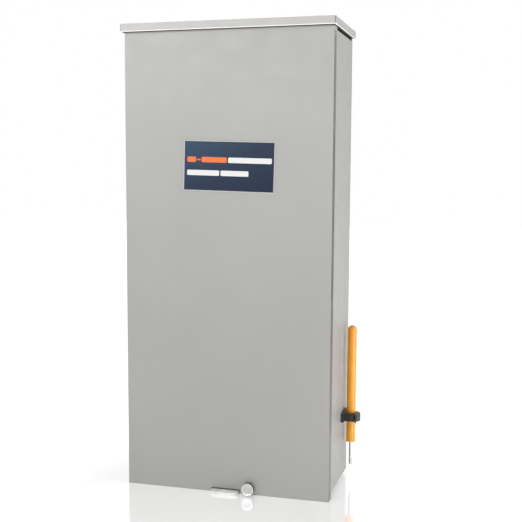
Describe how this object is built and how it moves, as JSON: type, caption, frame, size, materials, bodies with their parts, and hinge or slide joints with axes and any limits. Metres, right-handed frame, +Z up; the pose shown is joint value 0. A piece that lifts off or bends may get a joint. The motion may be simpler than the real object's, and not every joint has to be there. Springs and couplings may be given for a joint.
{
  "type": "transfer switch",
  "caption": "Wall-mounted outdoor transfer switch: rain-capped steel enclosure with a lift-up front cover, thumbscrew latch, load centre, transfer mechanism and a stowed operating handle.",
  "frame": {"origin": "centre of the back face that lies against the wall", "axes": "+X to the right seen from the front, +Y into the wall, +Z up"},
  "size_m": [0.3782, 0.181, 0.7646],
  "materials": {
    "cover_paint": "grey powder coat, fine satin",
    "cap_paint": "light grey powder coat, satin",
    "plain_steel": "turned bright steel",
    "zinc_plate": "zinc-plated steel sheet",
    "knob_metal": "nickel-plated, machined face",
    "label_film": "printed polyester film, navy with a pale border",
    "grey_insulator": "moulded thermoset",
    "tinned_bus": "tin-plated aluminium bar",
    "lug_aluminium": "extruded, bare",
    "black_moulding": "fine moulded texture",
    "copper": null,
    "coil_tape": "yellow polyester coil tape",
    "relay_case": "smoky clear dust cover",
    "wire_jacket": "red hook-up wire jacket",
    "grip_vinyl": "dipped orange vinyl"
  },
  "bodies": {
    "enclosure": {"back_panel": "zinc_plate", "breaker_1_case": "black_moulding", "breaker_2_case": "black_moulding", "breaker_3_case": "black_moulding", "breaker_4_case": "black_moulding", "breaker_5_case": "black_moulding", "breaker_6_case": "black_moulding", "breaker_7_case": "black_moulding", "breaker_8_case": "black_moulding", "bus_bar_left": "tinned_bus", "bus_bar_right": "tinned_bus", "bus_insulator": "grey_insulator", "coil_lead_lower": "wire_jacket", "coil_lead_upper": "wire_jacket", "dead_front": "cover_paint", "dead_front_rail_lower": "zinc_plate", "dead_front_rail_upper": "zinc_plate", "enclosure_tub": "cover_paint", "fuse_block": "black_moulding", "generator_contact_left": "copper", "generator_contact_right": "copper", "generator_lug_left": "lug_aluminium", "generator_lug_right": "lug_aluminium", "ground_bar": "lug_aluminium", "handle_clip_base": "black_moulding", "hasp_bracket": "zinc_plate", "latch_nut": "zinc_plate", "neutral_bar": "lug_aluminium", "pivot_pin_left": "plain_steel", "pivot_pin_right": "plain_steel", "rain_cap": "cap_paint", "solenoid_coil_lower": "coil_tape", "solenoid_coil_upper": "coil_tape", "solenoid_frame": "zinc_plate", "terminal_block": "black_moulding", "transfer_base": "black_moulding", "transfer_relay": "relay_case", "utility_contact_left": "copper", "utility_contact_right": "copper", "utility_lug_left": "lug_aluminium", "utility_lug_right": "lug_aluminium"},
    "cover": {"front_cover": "cover_paint", "label_plate": "label_film"},
    "latch": {"latch_knob": "knob_metal"},
    "rotor": {"rotor_shaft": "plain_steel", "contact_arm_left": "copper", "contact_arm_right": "copper", "handle_socket": "plain_steel"},
    "plunger": {"solenoid_plunger": "plain_steel"},
    "handle": {"handle_grip": "grip_vinyl", "handle_rod": "plain_steel"},
    "clip_jaw": {"handle_clip_jaw": "black_moulding"},
    "breaker_1_switch": {"breaker_1_toggle": "black_moulding"},
    "breaker_2_switch": {"breaker_2_toggle": "black_moulding"},
    "breaker_3_switch": {"breaker_3_toggle": "black_moulding"},
    "breaker_4_switch": {"breaker_4_toggle": "black_moulding"},
    "breaker_5_switch": {"breaker_5_toggle": "black_moulding"},
    "breaker_6_switch": {"breaker_6_toggle": "black_moulding"},
    "breaker_7_switch": {"breaker_7_toggle": "black_moulding"},
    "breaker_8_switch": {"breaker_8_toggle": "black_moulding"}
  },
  "joints": [
    {"name": "cover_swing", "type": "hinge", "parent": "enclosure", "child": "cover", "pos_m": [0, -0.155, 0.35775], "axis": [-1, 0, 0], "range_deg": [0, 90]},
    {"name": "latch_turn", "type": "hinge", "parent": "cover", "child": "latch", "pos_m": [0.0405, -0.166, -0.37005], "axis": [0, -1, 0], "continuous": true},
    {"name": "rotor_turn", "type": "hinge", "parent": "enclosure", "child": "rotor", "pos_m": [0, -0.066, 0.17775], "axis": [1, 0, 0], "range_deg": [0, 40]},
    {"name": "plunger_slide", "type": "slide", "parent": "enclosure", "child": "plunger", "axis": [0, 0, -1], "range_m": [0, 0.0137]},
    {"name": "handle_slide", "type": "slide", "parent": "enclosure", "child": "handle", "axis": [0, 0, 1], "range_m": [0, 0.12]},
    {"name": "clip_jaw_swing", "type": "hinge", "parent": "enclosure", "child": "clip_jaw", "pos_m": [0.1775, -0.0314, -0.27125], "axis": [0, 0, 1], "range_deg": [0, 30]},
    {"name": "breaker_1_throw", "type": "hinge", "parent": "enclosure", "child": "breaker_1_switch", "pos_m": [-0.044, -0.106, -0.07445], "axis": [0, 0, -1], "range_deg": [0, 50]},
    {"name": "breaker_2_throw", "type": "hinge", "parent": "enclosure", "child": "breaker_2_switch", "pos_m": [-0.044, -0.106, -0.12525], "axis": [0, 0, -1], "range_deg": [0, 50]},
    {"name": "breaker_3_throw", "type": "hinge", "parent": "enclosure", "child": "breaker_3_switch", "pos_m": [-0.044, -0.106, -0.17605], "axis": [0, 0, -1], "range_deg": [0, 50]},
    {"name": "breaker_4_throw", "type": "hinge", "parent": "enclosure", "child": "breaker_4_switch", "pos_m": [-0.044, -0.106, -0.22685], "axis": [0, 0, -1], "range_deg": [0, 50]},
    {"name": "breaker_5_throw", "type": "hinge", "parent": "enclosure", "child": "breaker_5_switch", "pos_m": [0.044, -0.106, -0.07445], "axis": [0, 0, 1], "range_deg": [0, 50]},
    {"name": "breaker_6_throw", "type": "hinge", "parent": "enclosure", "child": "breaker_6_switch", "pos_m": [0.044, -0.106, -0.12525], "axis": [0, 0, 1], "range_deg": [0, 50]},
    {"name": "breaker_7_throw", "type": "hinge", "parent": "enclosure", "child": "breaker_7_switch", "pos_m": [0.044, -0.106, -0.17605], "axis": [0, 0, 1], "range_deg": [0, 50]},
    {"name": "breaker_8_throw", "type": "hinge", "parent": "enclosure", "child": "breaker_8_switch", "pos_m": [0.044, -0.106, -0.22685], "axis": [0, 0, 1], "range_deg": [0, 50]}
  ],
  "couplings": [
    {"joint": "plunger_slide", "follows": "rotor_turn", "m_per_rad": 0.0195}
  ]
}
